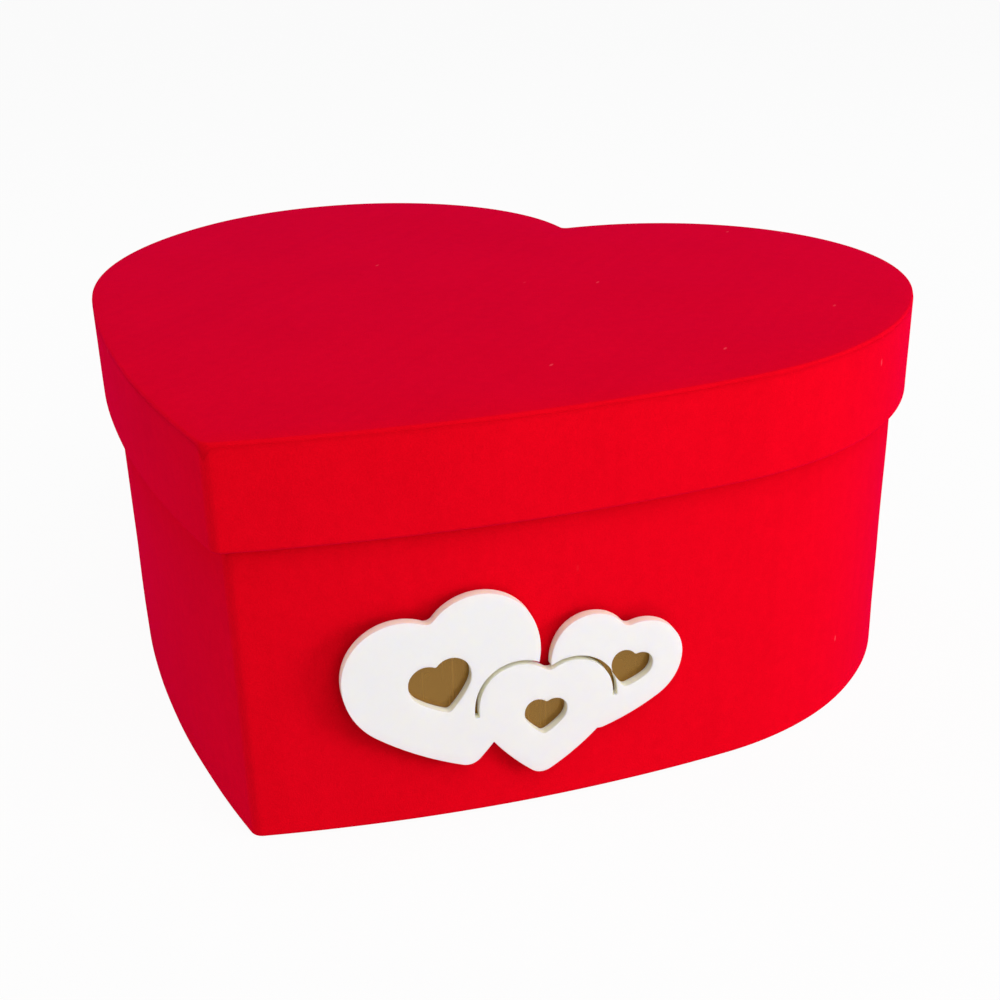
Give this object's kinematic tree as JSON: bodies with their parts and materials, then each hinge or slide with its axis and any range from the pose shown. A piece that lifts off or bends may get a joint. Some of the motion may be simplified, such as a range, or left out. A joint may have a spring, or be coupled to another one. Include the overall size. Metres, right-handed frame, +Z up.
{
  "type": "flower box",
  "caption": "Heart-shaped flower box of velvet-covered card with a lift-off lid and a white plaque of overlapping hearts on one flank.",
  "frame": {"origin": "under the middle of the heart outline's bounding box, on the surface that the box stands on", "axes": "+Z up, +X to the right across the two lobes, the heart's point towards -Y and its cleft towards +Y"},
  "size_m": [0.29, 0.268, 0.13],
  "materials": {
    "board": "matte",
    "velvet": "matte",
    "lining": "matte",
    "stay_tape": "matte",
    "foam_tape": "matte",
    "plaque_gold": "gloss",
    "plaque_white": "satin"
  },
  "bodies": {
    "base": {"wall_board_right": "board", "wall_board_left": "board", "floor_board": "board", "tip_stay_tape": "stay_tape", "cleft_stay_tape": "stay_tape", "wall_velvet": "velvet", "wall_lining": "lining", "floor_lining": "lining", "bottom_sheet": "lining", "plaque_foam_tape": "foam_tape", "plaque_backing": "plaque_gold", "plaque_front": "plaque_white"},
    "lid": {"lid_top_board": "board", "lid_rim_board_right": "board", "lid_rim_board_left": "board", "lid_tip_stay_tape": "stay_tape", "lid_cleft_stay_tape": "stay_tape", "lid_top_velvet": "velvet", "lid_rim_velvet": "velvet", "lid_rim_lining": "lining", "lid_top_lining": "lining"}
  },
  "joints": [
    {"name": "lid_lift", "type": "slide", "parent": "base", "child": "lid", "axis": [0, 0, 1], "range_m": [0, 0.1]}
  ]
}
